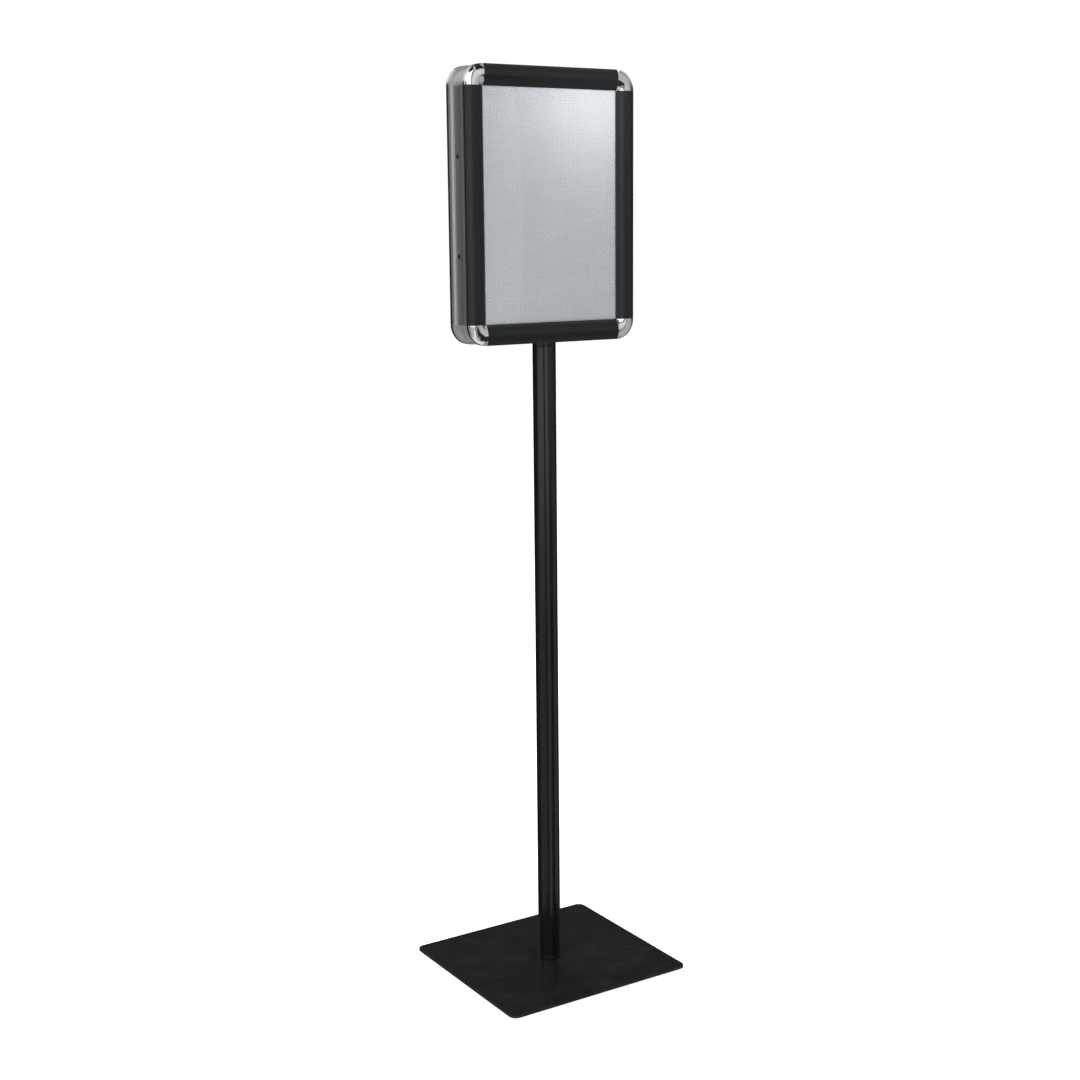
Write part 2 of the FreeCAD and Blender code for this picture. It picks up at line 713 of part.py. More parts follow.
def check_and_write():
    doc.recompute()
    bad = [thing.Name for thing in doc.Objects
           if "Invalid" in thing.State or "Error" in thing.State]
    bad += [part.Label for part in subparts if part.Shape.isNull() or not part.Shape.isValid()]
    if bad:
        raise RuntimeError("failed: " + ", ".join(bad))
    os.makedirs("parts", exist_ok=True)
    for part in subparts:
        part.Shape.exportStep(f"parts/{part.Label}.step")
        box = part.Shape.BoundBox
        print(f"{part.Label:32s} solids {len(part.Shape.Solids)} volume {part.Shape.Volume:10.1f}"
              f"  x {box.XMin:8.2f} {box.XMax:8.2f}  y {box.YMin:8.2f} {box.YMax:8.2f}"
              f"  z {box.ZMin:8.2f} {box.ZMax:8.2f}")


fill_sheet()
make_base_plate()
make_base_pads()
make_base_bolt()
make_base_plug()
make_tube()
make_top_plug()
make_head_bolt()
make_sign()
check_and_write()
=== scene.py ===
import math

import bmesh
import bpy
from mathutils import Matrix, Vector, geometry


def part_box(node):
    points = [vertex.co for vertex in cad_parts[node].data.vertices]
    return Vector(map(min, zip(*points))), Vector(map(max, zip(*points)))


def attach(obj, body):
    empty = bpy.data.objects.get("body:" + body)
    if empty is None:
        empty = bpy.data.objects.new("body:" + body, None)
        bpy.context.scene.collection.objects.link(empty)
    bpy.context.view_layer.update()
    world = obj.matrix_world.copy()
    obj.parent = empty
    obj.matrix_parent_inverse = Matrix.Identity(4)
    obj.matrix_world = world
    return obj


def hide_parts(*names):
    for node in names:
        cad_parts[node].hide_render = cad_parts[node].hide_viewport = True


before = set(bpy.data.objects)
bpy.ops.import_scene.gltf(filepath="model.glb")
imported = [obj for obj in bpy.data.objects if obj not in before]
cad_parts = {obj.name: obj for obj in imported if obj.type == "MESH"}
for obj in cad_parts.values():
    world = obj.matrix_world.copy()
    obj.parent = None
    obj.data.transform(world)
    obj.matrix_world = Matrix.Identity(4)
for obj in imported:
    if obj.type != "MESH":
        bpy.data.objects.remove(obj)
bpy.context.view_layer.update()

# Looks of a double-sided snap-frame sign stand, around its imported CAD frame.
# Pieces are drawn in millimetres and put in place in metres. Sections are described, as in the
# CAD, by two distances:
#   inset  how far a point lies inside the sign's outer edge
#   depth  how far it lies in front of the sign's middle plane (the back half is a mirror image)

MM = 0.001
ROOT = "stand"

RAIL_WIDTH = 25.0
RAIL_WALL = 1.3
LIP_WALL = 1.2
RAIL_INNER_DEPTH = 20.0
RAIL_LIP_DEPTH = 18.5
CROWN_RADIUS = 19.65
CROWN_INSET = 11.4
CROWN_DEPTH = RAIL_INNER_DEPTH - math.sqrt(CROWN_RADIUS ** 2 - (RAIL_WIDTH - CROWN_INSET) ** 2)
EDGE_RADIUS = 1.2
EDGE_DEPTH = CROWN_DEPTH + math.sqrt((CROWN_RADIUS - EDGE_RADIUS) ** 2
                                     - (CROWN_INSET - EDGE_RADIUS) ** 2)
EDGE_ANGLE = math.degrees(math.atan2(EDGE_DEPTH - CROWN_DEPTH, EDGE_RADIUS - CROWN_INSET))
RAIL_END_GAP = 0.25

HINGE = (2.6, 19.6)
HOOK_RADIUS = 2.6
HOOK_END = 300.0
SEAT_RADIUS = 2.7
CLAW_RADIUS = 3.9
CLAW_TIP = 40.0
CLAW_ROOT = -50.0
CLAW_FOOT = 6.0

FLANGE_DEPTH = 16.9
FACE_DEPTH = 15.7
CHAMBER_DEPTH = 14.2
CHANNEL_RECESS = 2.5
CHANNEL_HALF = 12.0
CHAMBER_OUTER = 4.3
INNER_WALL = 20.0
CHAMBER_INNER = 18.5
JOINT_GAP = 0.1
SIDE_HOLE_RADIUS = 3.0
SIDE_HOLE_HALF_PITCH = 58.0
SIDE_HOLE_DEPTH = 2.0
BOLT_HOLE_RADIUS = 4.3

CAP_WALL = 1.6
CAP_LIP_DEPTH = 17.0
PEG_RADIUS = 2.5
PEG_PLAY = 0.05
PEG_REACH = 18.5
PEG_END = 12.0
KEY_THICKNESS = 4.0
KEY_REACH = 25.0
KEY_ROOT = 5.0
KEY_PLAY = 0.1

SPRING_GAUGE = 0.4
SPRING_LENGTH = 20.0
SPRING_FOOT = 7.0
SPRING_BEND = 11.5
SPRING_BEND_RADIUS = 2.9
SPRING_RISE = 1.2
SPRING_FROM_END = 45.0

TUBE_WALL = 1.5
TUBE_EDGE = 0.25
PLUG_FLANGE = 5.0
PLUG_PLAY = 0.05
PLUG_EDGE = 0.35
PLUG_CHAMFER = 0.8
THREAD_RADIUS = 4.05
THREAD_DEPTH = 22.0
SPIGOT_RADIUS = 11.8
SPIGOT_HEIGHT = 2.4
SPIGOT_CHAMFER = 0.3
PAD_RADIUS = 10.0
PAD_EDGE = 0.5
POLE_STEPS = 128

SHARP_ANGLE = 35.0
KEPT_SHARP_ANGLE = 40.0
BEVEL_STEPS = 2
WELD_DISTANCE = 1e-6    # metres
SAME_POINT = 1e-4
NO_LENGTH = 1e-5

SIDES = {"top": 0, "left": 270, "bottom": 180, "right": 90}
CORNERS = {"top_right": 0, "top_left": 270, "bottom_left": 180, "bottom_right": 90}
FACES = {"front": 0, "rear": 180}


# ---------------------------------------------------------------- places

def span(node):
    """Size of a CAD node, in millimetres."""
    low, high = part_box(node)
    return (high - low) / MM


window_width = span("front_rail_top").x + 2 * RAIL_END_GAP
window_height = span("front_rail_left").z + 2 * RAIL_END_GAP
sign_low, sign_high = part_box("corner_joiner_bottom_left")[0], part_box("corner_joiner_top_right")[1]
sign_centre = (sign_low.z + sign_high.z) / 2 / MM


def turned_place(about_y, offset, face="front"):
    """Offset from the sign's centre, turned about the face axis and then front to back."""
    return (Matrix.Translation((0, 0, sign_centre))
            @ Matrix.Rotation(math.radians(FACES[face]), 4, "Z")
            @ Matrix.Rotation(math.radians(about_y), 4, "Y")
            @ Matrix.Translation(offset))


def is_long(side):
    return side in ("left", "right")


def run_length(side):
    return window_height if is_long(side) else window_width


def side_place(side, face="front"):
    """Drawn for the top side: X along it, the outer edge at the local origin."""
    half = (window_width if is_long(side) else window_height) / 2 + RAIL_WIDTH
    return turned_place(SIDES[side], (0, 0, half), face)


def corner_place(corner, face="front"):
    """Drawn for the top right: the window's corner at the local origin."""
    across, up = window_width / 2, window_height / 2
    if CORNERS[corner] in (90, 270):
        across, up = up, across
    return turned_place(CORNERS[corner], (across, 0, up), face)


def remember_place(piece, place):
    """A piece keeps its drawing coordinates until finished() puts it in place."""
    piece["place"] = [value for row in place for value in row]


def remembered_place(piece):
    values = list(piece["place"])
    return Matrix([values[row * 4:row * 4 + 4] for row in range(4)])


# ---------------------------------------------------------------- outlines and meshes

def arc(centre, radius, start, end, steps):
    """Points on an arc, angles in degrees from the first axis towards the second."""
    points = []
    for step in range(steps + 1):
        angle = math.radians(start + (end - start) * step / steps)
        points.append((centre[0] + radius * math.cos(angle), centre[1] + radius * math.sin(angle)))
    return points


def mirrored(points):
    """The front half of a section, closed with its image behind the middle plane."""
    return points + [(inset, -depth) for inset, depth in reversed(points)]


def linked(piece, place):
    """Adds the piece to the scene, with the place that it will go to."""
    bpy.context.scene.collection.objects.link(piece)
    remember_place(piece, place)
    return piece


def make_mesh(name, vertices, faces, place):
    """A closed mesh in drawing coordinates."""
    mesh = bpy.data.meshes.new(name)
    mesh.from_pydata(vertices, [], faces)
    build = bmesh.new()
    build.from_mesh(mesh)
    bmesh.ops.remove_doubles(build, verts=build.verts, dist=SAME_POINT)
    bmesh.ops.dissolve_degenerate(build, edges=build.edges, dist=NO_LENGTH)
    bmesh.ops.recalc_face_normals(build, faces=build.faces)
    build.to_mesh(mesh)
    build.free()
    return linked(bpy.data.objects.new(name, mesh), place)


def extruded(name, loops, length, place, cuts=()):
    """A section, given as an outline and its holes in inset and depth, drawn out along X, with
    extra cross-cuts that keep later holes away from the long faces."""
    points = [(-depth, -inset) for loop in loops for inset, depth in loop]
    count = len(points)
    stations = [-length / 2, *sorted(cuts), length / 2]
    vertices = [(x, y, z) for x in stations for y, z in points]
    faces = []
    for station in range(len(stations) - 1):
        first = station * count
        for loop in loops:
            for number in range(len(loop)):
                here = first + number
                after = first + (number + 1) % len(loop)
                faces.append((here, after, after + count, here + count))
            first += len(loop)
    last = (len(stations) - 1) * count
    if len(loops) == 1:
        caps = [tuple(range(count))]
    else:
        flat = [[Vector((depth, inset, 0)) for inset, depth in loop] for loop in loops]
        caps = [tuple(triangle) for triangle in geometry.tessellate_polygon(flat)]
    faces += caps
    faces += [tuple(index + last for index in reversed(cap)) for cap in caps]
    return make_mesh(name, vertices, faces, place)


def quarter_turned(name, outline, place, steps=48):
    """A section turned through 90 degrees about the window's corner."""
    count = len(outline)
    vertices = []
    for step in range(steps + 1):
        angle = math.pi / 2 * step / steps
        for inset, depth in outline:
            reach = RAIL_WIDTH - inset
            vertices.append((reach * math.sin(angle), -depth, reach * math.cos(angle)))
    faces = []
    for step in range(steps):
        for number in range(count):
            here = step * count + number
            after = step * count + (number + 1) % count
            faces.append((here, after, after + count, here + count))
    faces.append(tuple(range(count)))
    faces.append(tuple(reversed(range(steps * count, (steps + 1) * count))))
    return make_mesh(name, vertices, faces, place)


def lathed(name, profile, place, steps=96):
    """A closed outline of radius and height turned about Z."""
    count = len(profile)
    vertices = []
    for step in range(steps):
        angle = 2 * math.pi * step / steps
        for radius, height in profile:
            vertices.append((radius * math.cos(angle), radius * math.sin(angle), height))
    faces = []
    for step in range(steps):
        follow = (step + 1) % steps
        for number in range(count):
            after = (number + 1) % count
            if profile[number][0] == 0 and profile[after][0] == 0:
                continue
            faces.append((step * count + number, step * count + after,
                          follow * count + after, follow * count + number))
    return make_mesh(name, vertices, faces, place)


def slab(name, low, high, place):
    """A flat-faced block between two corners."""
    vertices = [(x, y, z) for x in (low[0], high[0]) for y in (low[1], high[1])
                for z in (low[2], high[2])]
    faces = [(0, 1, 3, 2), (4, 6, 7, 5), (0, 4, 5, 1), (2, 3, 7, 6), (0, 2, 6, 4), (1, 5, 7, 3)]
    return make_mesh(name, vertices, faces, place)


def combined(piece, tool, operation):
    """Adds the tool to the piece or cuts it away."""
    change = piece.modifiers.new("combine", "BOOLEAN")
    change.operation = operation
    change.object = tool
    change.solver = "EXACT"
    graph = bpy.context.evaluated_depsgraph_get()
    mesh = bpy.data.meshes.new_from_object(piece.evaluated_get(graph), depsgraph=graph)
    piece.modifiers.clear()
    piece.data = mesh
    bpy.data.objects.remove(tool)


def break_edges(piece, width, angle):
    """A small bevel on every edge sharper than the angle."""
    broken = piece.modifiers.new("edges", "BEVEL")
    broken.width = width * MM
    broken.segments = BEVEL_STEPS
    broken.limit_method = "ANGLE"
    broken.angle_limit = math.radians(angle)
    return broken


def finished(piece, node, body, material, bevel=0.0):
    """Puts the piece in place in metres, keeps its drawing coordinates as the attribute that the
    materials' grain follows, breaks its sharp edges and ties it to the frame."""
    mesh = piece.data
    drawn = [value * MM for vertex in mesh.vertices for value in vertex.co]
    mesh.transform(Matrix.Scale(MM, 4) @ remembered_place(piece))
    del piece["place"]
    grain = mesh.attributes.new("grain", "FLOAT_VECTOR", "POINT")
    grain.data.foreach_set("vector", drawn)
    for face in mesh.polygons:
        face.use_smooth = True
    mesh.set_sharp_from_angle(angle=math.radians(SHARP_ANGLE))
    if bevel:
        break_edges(piece, bevel, SHARP_ANGLE).harden_normals = True
    mesh.materials.clear()
    mesh.materials.append(material)
    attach(piece, body)
    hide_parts(node)


# ---------------------------------------------------------------- node helpers

class Nodes:
    """Short names for the nodes of one material or of the world."""

    def __init__(self, tree):
        self.tree = tree
        tree.nodes.clear()

    def add(self, kind, inputs=None, **settings):
        node = self.tree.nodes.new(kind)
        for name, value in settings.items():
            setattr(node, name, value)
        for name, value in (inputs or {}).items():
            self.feed(node.inputs[name], value)
        return node

    def feed(self, socket, value):
        if isinstance(value, bpy.types.NodeSocket):
            self.tree.links.new(value, socket)
        else:
            socket.default_value = value

    def math(self, operation, *values):
        node = self.add("ShaderNodeMath", operation=operation)
        for number, value in enumerate(values):
            self.feed(node.inputs[number], value)
        return node.outputs[0]

    def remap(self, value, low, high, new_low=0.0, new_high=1.0, kind="SMOOTHSTEP"):
        node = self.add("ShaderNodeMapRange", interpolation_type=kind)
        for number, item in enumerate((value, low, high, new_low, new_high)):
            self.feed(node.inputs[number], item)
        return node.outputs[0]

    def mix(self, factor, first, second):
        node = self.add("ShaderNodeMix", data_type="RGBA")
        self.feed(node.inputs[0], factor)
        self.feed(node.inputs[6], first)
        self.feed(node.inputs[7], second)
        return node.outputs[2]

    def grain(self, stretch=(1, 1, 1)):
        """The piece's drawing coordinates, in metres, scaled by axis."""
        place = self.add("ShaderNodeAttribute", attribute_name="grain")
        node = self.add("ShaderNodeVectorMath", {0: place.outputs["Vector"], 1: stretch},
                        operation="MULTIPLY")
        return node.outputs[0]

    def local(self, stretch=(1, 1, 1)):
        """Object coordinates, for CAD nodes that stay."""
        place = self.add("ShaderNodeTexCoord")
        node = self.add("ShaderNodeVectorMath", {0: place.outputs["Object"], 1: stretch},
                        operation="MULTIPLY")
        return node.outputs[0]

    def noise(self, vector, scale, detail=3.0, roughness=0.5):
        node = self.add("ShaderNodeTexNoise", {"Vector": vector, "Scale": scale,
                                               "Detail": detail, "Roughness": roughness})
        return node.outputs["Fac"]

    def bump(self, height, distance, strength):
        node = self.add("ShaderNodeBump", {"Height": height, "Distance": distance,
                                           "Strength": strength})
        return node.outputs["Normal"]

    def edges(self, low=0.52, high=0.62):
        """1 on convex edges, where a finish wears."""
        place = self.add("ShaderNodeNewGeometry")
        return self.remap(place.outputs["Pointiness"], low, high)


def new_material(name):
    material = bpy.data.materials.new(name)
    material.use_nodes = True
    return material, Nodes(material.node_tree)


def close(nodes, shader):
    out = nodes.add("ShaderNodeOutputMaterial")
    nodes.tree.links.new(shader, out.inputs["Surface"])


def principled(nodes, **inputs):
    """The shader of a solid finish."""
    names = {"colour": "Base Color", "metallic": "Metallic", "roughness": "Roughness",
             "normal": "Normal", "specular": "Specular IOR Level"}
    return nodes.add("ShaderNodeBsdfPrincipled",
                     {names[key]: value for key, value in inputs.items()}).outputs[0]


def grey(value, blue=1.0):
    """A grey, made bluer above 1 and warmer below."""
    return (value, value * (1 + (blue - 1) * 0.5), value * blue, 1)


# ---------------------------------------------------------------- materials

def black_anodised():
    """Extruded and black anodised aluminium: fine die lines along the rail."""
    material, n = new_material("black_anodised")
    lines = n.noise(n.grain((4, 900, 900)), 1.0, 4, 0.6)
    clouds = n.noise(n.grain((20, 60, 60)), 1.0, 3)
    dust = n.remap(n.noise(n.grain(), 2600, 2), 0.70, 0.78)
    tone = n.mix(n.remap(lines, 0.35, 0.65), grey(0.0026, 1.2), grey(0.0040, 1.2))
    tone = n.mix(n.math("MULTIPLY", n.edges(), 0.2), tone, grey(0.04))
    tone = n.mix(n.math("MULTIPLY", dust, 0.06), tone, grey(0.12))
    roughness = n.math("ADD", n.remap(clouds, 0.3, 0.7, 0.30, 0.36),
                       n.math("MULTIPLY", lines, 0.06))
    normal = n.bump(lines, 0.00004, 0.35)
    close(n, principled(n, colour=tone, roughness=roughness, specular=0.45, normal=normal))
    return material


def powder_coat(name, smooth, smudges, shade, gloss, kept=False):
    """Black powder coat with its fine orange peel, hand marks and rubbed patches."""
    material, n = new_material(name)
    place = n.local if kept else n.grain
    peel = n.noise(place(), 700, 2)
    clouds = n.noise(place(), 16, 5, 0.65)
    marks = n.remap(n.noise(place((1, 1.5, 1)), 24, 7, 0.72), 0.50, 0.66)
    tone = n.mix(n.remap(clouds, 0.3, 0.7), grey(shade * 0.75, 1.15), grey(shade * 1.25, 1.15))
    tone = n.mix(n.math("MULTIPLY", marks, smudges * 0.5), tone, grey(shade * 2, 1.1))
    tone = n.mix(n.math("MULTIPLY", n.edges(0.60, 0.75), 0.2), tone, grey(0.02))
    roughness = n.math("ADD", n.remap(clouds, 0.3, 0.7, smooth, smooth + 0.05),
                       n.math("MULTIPLY", marks, smudges * 0.12))
    normal = n.bump(peel, 0.00005, 0.16)
    close(n, principled(n, colour=tone, roughness=roughness, specular=gloss, normal=normal))
    return material


def chrome():
    """Bright chrome plating on a moulded cap, very slightly wavy, with finger haze."""
    material, n = new_material("chrome")
    haze = n.remap(n.noise(n.grain(), 160, 5, 0.65), 0.45, 0.75)
    waves = n.noise(n.grain(), 90, 1)
    scratches = n.remap(n.noise(n.grain((300, 2500, 900)), 1.0, 2), 0.66, 0.74)
    tone = n.mix(haze, grey(0.93, 1.0), grey(0.84, 1.01))
    tone = n.mix(n.math("MULTIPLY", n.edges(), 0.3), tone, grey(0.95))
    roughness = n.math("ADD", n.remap(haze, 0, 1, 0.02, 0.06),
                       n.math("MULTIPLY", scratches, 0.06))
    normal = n.bump(waves, 0.0009, 0.6)
    close(n, principled(n, colour=tone, metallic=1.0, roughness=roughness, normal=normal))
    return material


def silver_aluminium():
    """Satin silver extrusion, die lines along its length, with painted shade on the recessed
    channel's floor, a painted highlight along the channel's edges and a painted shadow that darkens
    it towards the front."""
    material, n = new_material("silver_aluminium")
    lines = n.noise(n.grain((3, 1400, 1400)), 1.0, 4, 0.7)
    wide = n.noise(n.grain((5, 200, 200)), 1.0, 2)
    stains = n.remap(n.noise(n.grain(), 60, 5, 0.6), 0.5, 0.8)
    tone = n.mix(lines, grey(0.56, 1.0), grey(0.72, 1.0))
    tone = n.mix(n.math("MULTIPLY", wide, 0.25), tone, grey(0.42))
    tone = n.mix(n.math("MULTIPLY", stains, 0.2), tone, grey(0.38, 0.97))
    _, across, out = n.add("ShaderNodeSeparateXYZ", {0: n.grain()}).outputs
    # Painted shade: the recessed channel floor is darkened where the recess holds shade.
    floor = -CHANNEL_RECESS * MM
    painted_recess_shade = n.math("MULTIPLY", n.remap(out, floor + 0.3 * MM, floor + 1.5 * MM, 1.0, 0.0),
                  n.remap(out, floor - 1.1 * MM, floor - 0.5 * MM))
    tone = n.mix(n.math("MULTIPLY", painted_recess_shade, 0.45), tone, grey(0.20))
    # Painted shadow: the side grows darker towards the front, where the front rail shades it.
    front, back = -17 * MM, 13 * MM
    painted_front_shadow = n.remap(across, front, back, 0.45, 0.0, "LINEAR")
    tone = n.mix(painted_front_shadow, tone, grey(0.16))
    # Painted highlight: a bright stripe along both edges of the channel, where the edges catch the
    # light.
    edge = CHANNEL_HALF * MM
    from_middle = n.math("ABSOLUTE", across)
    painted_rim_highlight = n.math("MULTIPLY", n.remap(from_middle, edge - 0.7 * MM, edge - 0.2 * MM),
                 n.remap(from_middle, edge + 0.2 * MM, edge + 0.7 * MM, 1.0, 0.0))
    tone = n.mix(n.math("MULTIPLY", painted_rim_highlight, 0.8), tone, grey(0.90, 0.92))
    roughness = n.math("ADD", n.remap(wide, 0.3, 0.7, 0.30, 0.38),
                       n.math("MULTIPLY", lines, 0.08))
    normal = n.bump(lines, 0.00005, 0.45)
    close(n, principled(n, colour=tone, metallic=0.9, roughness=roughness, normal=normal))
    return material


def grey_joiner():
    """Silver-grey lacquered moulding with a fine metallic speckle."""
    material, n = new_material("grey_joiner")
    speckle = n.noise(n.grain(), 2600, 1)
    clouds = n.noise(n.grain(), 45, 4)
    tone = n.mix(speckle, grey(0.44, 1.0), grey(0.62, 1.0))
    tone = n.mix(n.math("MULTIPLY", clouds, 0.4), tone, grey(0.42))
    tone = n.mix(n.math("MULTIPLY", n.edges(), 0.4), tone, grey(0.8))
    roughness = n.remap(clouds, 0.3, 0.7, 0.30, 0.40)
    normal = n.bump(speckle, 0.00004, 0.3)
    close(n, principled(n, colour=tone, metallic=0.75, roughness=roughness, normal=normal))
    return material


def silver_panel():
    """Silver-faced backing board, faintly brushed along its height."""
    material, n = new_material("silver_panel")
    brushed = n.noise(n.grain((900, 900, 12)), 1.0, 3, 0.6)
    clouds = n.noise(n.grain(), 14, 3)
    tone = n.mix(brushed, (0.66, 0.685, 0.712, 1), (0.72, 0.747, 0.775, 1))
    tone = n.mix(n.math("MULTIPLY", clouds, 0.06), tone, (0.61, 0.64, 0.67, 1))
    tone = n.mix(n.math("MULTIPLY", n.edges(), 0.4), tone, grey(0.8))
    roughness = n.remap(brushed, 0.3, 0.7, 0.42, 0.52)
    normal = n.bump(brushed, 0.00003, 0.4)
    close(n, principled(n, colour=tone, metallic=0.25, roughness=roughness, normal=normal))
    return material


def clear_cover():
    """Clear anti-glare sheet: a fine square embossing that scatters a part of the light."""
    material, n = new_material("clear_cover")
    x, _, z = n.add("ShaderNodeSeparateXYZ", {0: n.grain()}).outputs
    pitch = 2.3 * MM
    waves = [n.math("SINE", n.math("MULTIPLY", axis, 2 * math.pi / pitch)) for axis in (x, z)]
    cells = n.math("ADD", *waves)
    frost = n.noise(n.grain(), 2200, 1)
    uneven = n.noise(n.grain(), 9, 2)
    height = n.math("ADD", cells, n.math("MULTIPLY", frost, 0.3))
    normal = n.bump(height, 0.00002, 0.07)
    haze = n.add("ShaderNodeBsdfDiffuse",
                 {"Color": n.mix(n.remap(cells, -2, 2), (0.715, 0.732, 0.755, 1),
                                 (0.755, 0.773, 0.797, 1))}).outputs[0]
    clear = n.add("ShaderNodeBsdfTransparent", {"Color": (0.97, 0.98, 0.98, 1)}).outputs[0]
    body = n.add("ShaderNodeMixShader",
                 {0: n.remap(uneven, 0.2, 0.8, 0.30, 0.32), 1: clear, 2: haze}).outputs[0]
    gloss = n.add("ShaderNodeBsdfGlossy",
                  {"Color": grey(1.0), "Roughness": n.remap(uneven, 0.2, 0.8, 0.17, 0.19),
                   "Normal": normal}).outputs[0]
    facing = n.add("ShaderNodeFresnel", {"IOR": 1.5, "Normal": normal}).outputs[0]
    close(n, n.add("ShaderNodeMixShader", {0: facing, 1: body, 2: gloss}).outputs[0])
    return material


def steel(name, tint, kept=False):
    """Zinc-plated or spring steel with rolling marks."""
    material, n = new_material(name)
    place = n.local if kept else n.grain
    lines = n.noise(place((200, 1500, 1500)), 1.0, 3)
    clouds = n.noise(place(), 250, 4)
    tone = n.mix(lines, tint, tuple(value * 0.78 for value in tint[:3]) + (1,))
    tone = n.mix(n.math("MULTIPLY", clouds, 0.2), tone, grey(0.36, 0.97))
    tone = n.mix(n.math("MULTIPLY", n.edges(), 0.5), tone, grey(0.8))
    roughness = n.remap(clouds, 0.3, 0.7, 0.22, 0.38)
    normal = n.bump(lines, 0.00003, 0.4)
    close(n, principled(n, colour=tone, metallic=1.0, roughness=roughness, normal=normal))
    return material


def pad_rubber():
    """Matte black rubber, dusty in places."""
    material, n = new_material("pad_rubber")
    skin = n.noise(n.grain(), 1800, 3)
    dust = n.remap(n.noise(n.grain(), 120, 4), 0.5, 0.8)
    tone = n.mix(skin, grey(0.018), grey(0.030))
    tone = n.mix(n.math("MULTIPLY", dust, 0.3), tone, grey(0.10))
    tone = n.mix(n.math("MULTIPLY", n.edges(), 0.3), tone, grey(0.07))
    roughness = n.remap(skin, 0.3, 0.7, 0.62, 0.82)
    normal = n.bump(skin, 0.0001, 0.5)
    close(n, principled(n, colour=tone, roughness=roughness, normal=normal))
    return material


rail_finish = black_anodised()
pole_finish = powder_coat("black_powder_coat", 0.15, 0.25, 0.0035, 0.42)
plate_finish = powder_coat("black_powder_coat_plate", 0.24, 1.0, 0.0075, 0.5, kept=True)
chrome_finish = chrome()
profile_finish = silver_aluminium()
joiner_finish = grey_joiner()
panel_finish = silver_panel()
cover_finish = clear_cover()
spring_finish = steel("spring_steel", grey(0.62, 0.98))
bolt_finish = steel("zinc_steel", grey(0.66, 0.96), kept=True)
rubber_finish = pad_rubber()


# ---------------------------------------------------------------- sign

CROWN = (CROWN_INSET, CROWN_DEPTH)
CROWN_END = math.degrees(math.atan2(RAIL_INNER_DEPTH - CROWN_DEPTH, RAIL_WIDTH - CROWN_INSET))


def rail_outline():
    under = CROWN_RADIUS - RAIL_WALL
    under_start = math.degrees(math.acos((RAIL_WIDTH - RAIL_WALL - CROWN_INSET) / under))
    under_end = math.degrees(math.acos((LIP_WALL - CROWN_INSET) / under))
    return (arc((EDGE_RADIUS, EDGE_DEPTH), EDGE_RADIUS, 180, EDGE_ANGLE, 8)
            + arc(CROWN, CROWN_RADIUS, EDGE_ANGLE, CROWN_END, 40)[1:]
            + [(RAIL_WIDTH, RAIL_LIP_DEPTH), (RAIL_WIDTH - RAIL_WALL, RAIL_LIP_DEPTH)]
            + arc(CROWN, under, under_start, under_end, 24)
            + arc(HINGE, HOOK_RADIUS - LIP_WALL, 180, HOOK_END, 12)
            + arc(HINGE, HOOK_RADIUS, HOOK_END, 180, 16))


def make_rails():
    outline = rail_outline()
    for face in FACES:
        for side in SIDES:
            node = f"{face}_rail_{side}"
            length = run_length(side) - 2 * RAIL_END_GAP
            rail = extruded(f"{node}_visual", [outline], length, side_place(side, face))
            finished(rail, node, node, rail_finish, bevel=0.18)


def profile_outline():
    return mirrored(
        [(CHANNEL_RECESS, CHANNEL_HALF), (0, CHANNEL_HALF), (0, FLANGE_DEPTH)]
        + arc(HINGE, SEAT_RADIUS, -90, CLAW_TIP, 16)
        + arc(HINGE, CLAW_RADIUS, CLAW_TIP, CLAW_ROOT, 12)
        + [(CLAW_FOOT, FACE_DEPTH), (RAIL_WIDTH, FACE_DEPTH), (RAIL_WIDTH, CHAMBER_DEPTH),
           (INNER_WALL, CHAMBER_DEPTH)])


def bar(radius, low, high, place):
    """A round bar about the local Z axis, as a tool."""
    return lathed("tool", [(0, low), (radius, low), (radius, high), (0, high)], place, 48)


def drilled(piece, place, holes, radius, length):
    """Holes along the piece's local Z axis, at X and Y, centred on its outer edge."""
    for x, y in holes:
        tool = bar(radius, -length / 2, length / 2, place)
        tool.data.transform(Matrix.Translation((x, y, 0)))
        combined(piece, tool, "DIFFERENCE")


def profile_holes(side):
    """Radius and length of a profile's drillings, and where they are: the bolt's goes right
    through, the accessory holes go through the side channel's floor."""
    if side == "bottom":
        return BOLT_HOLE_RADIUS, 4 * RAIL_WIDTH, [(0, 0)]
    if side == "top":
        return 0, 0, []
    across = SIDE_HOLE_DEPTH if side == "left" else -SIDE_HOLE_DEPTH
    return SIDE_HOLE_RADIUS, RAIL_WIDTH, [(SIDE_HOLE_HALF_PITCH, across),
                                          (-SIDE_HOLE_HALF_PITCH, across)]


def make_profiles():
    outline = profile_outline()
    chamber = [(CHAMBER_OUTER, CHAMBER_DEPTH), (CHAMBER_INNER, CHAMBER_DEPTH),
               (CHAMBER_INNER, -CHAMBER_DEPTH), (CHAMBER_OUTER, -CHAMBER_DEPTH)]
    for side in SIDES:
        node = f"frame_profile_{side}"
        place = side_place(side)
        length = run_length(side) - 2 * JOINT_GAP
        radius, through, holes = profile_holes(side)
        cuts = [x + shift for x, _ in holes for shift in (-2 * radius, 2 * radius)]
        profile = extruded(f"{node}_visual", [outline, chamber], length, place, cuts)
        drilled(profile, place, holes, radius, through)
        finished(profile, node, ROOT, profile_finish, bevel=0.15)


def peg_bar(radius, near, far, place):
    """A bar along the face axis on the corner's bisector, from near to far depth."""
    reach = PEG_REACH / math.sqrt(2)
    tool = bar(radius, 0, near - far, place)
    tool.data.transform(Matrix.Translation((reach, -near, reach))
                        @ Matrix.Rotation(math.radians(-90), 4, "X"))
    return tool


